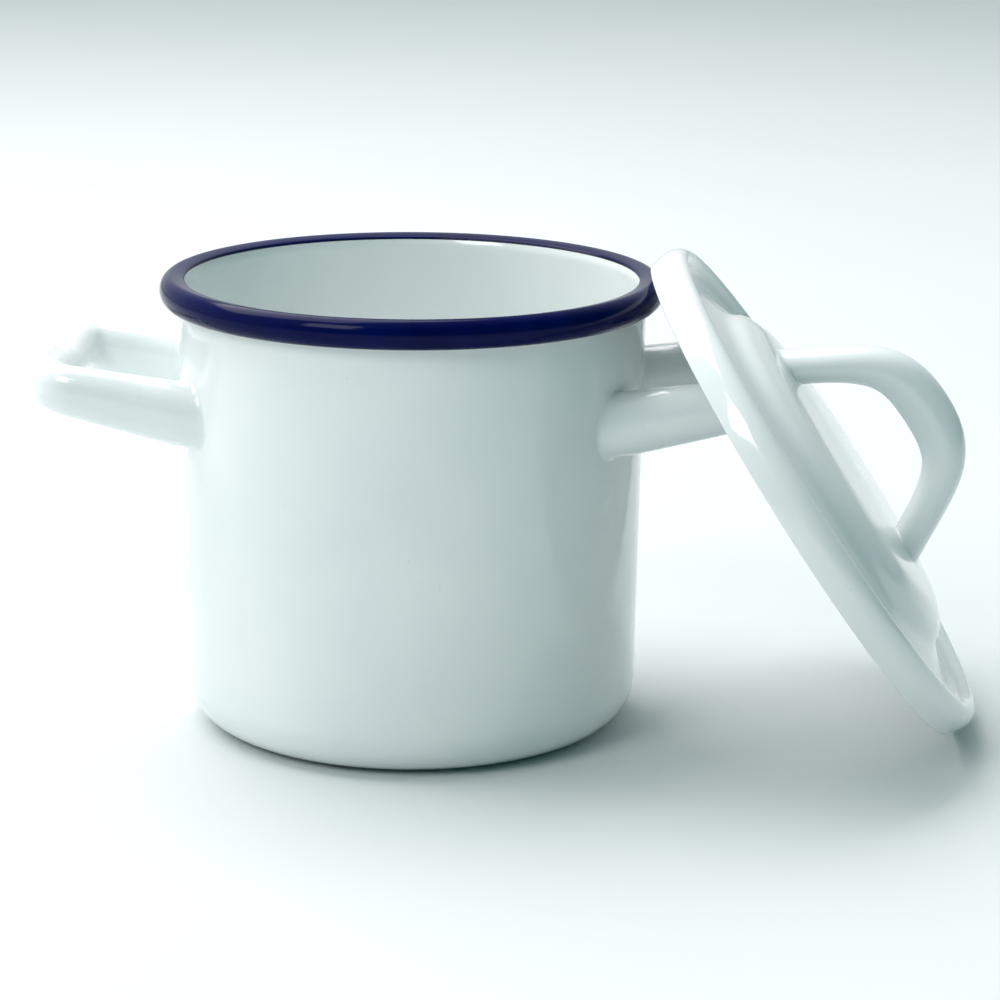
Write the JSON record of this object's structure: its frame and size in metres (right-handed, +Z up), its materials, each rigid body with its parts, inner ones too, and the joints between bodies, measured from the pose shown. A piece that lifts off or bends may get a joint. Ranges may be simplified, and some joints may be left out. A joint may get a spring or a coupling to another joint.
{
  "type": "enamel pot with lid",
  "caption": "Small straight-sided enamelled pot with looped side handles, a rolled rim and a loose domed lid that leans against it.",
  "frame": {"origin": "centre of the flat underside of the pot's base, on the floor", "axes": "+Z up along the pot's axis; +X from the pot towards the leaning lid, close to the line of the side handles; -Y towards the front"},
  "size_m": [0.2876, 0.1702, 0.1453],
  "materials": {
    "white_enamel": "gloss",
    "blue_enamel": "gloss"
  },
  "bodies": {
    "pot": {"pot_body": "white_enamel", "rolled_rim": "blue_enamel", "handle_left": "white_enamel", "handle_right": "white_enamel"},
    "lid": {"lid_shell": "white_enamel", "lid_handle": "white_enamel"}
  },
  "joints": [
    {"name": "lid_lift", "type": "slide", "parent": "pot", "child": "lid", "axis": [0.8253, -0.0668, 0.5607], "range_m": [0, 0.12]}
  ]
}
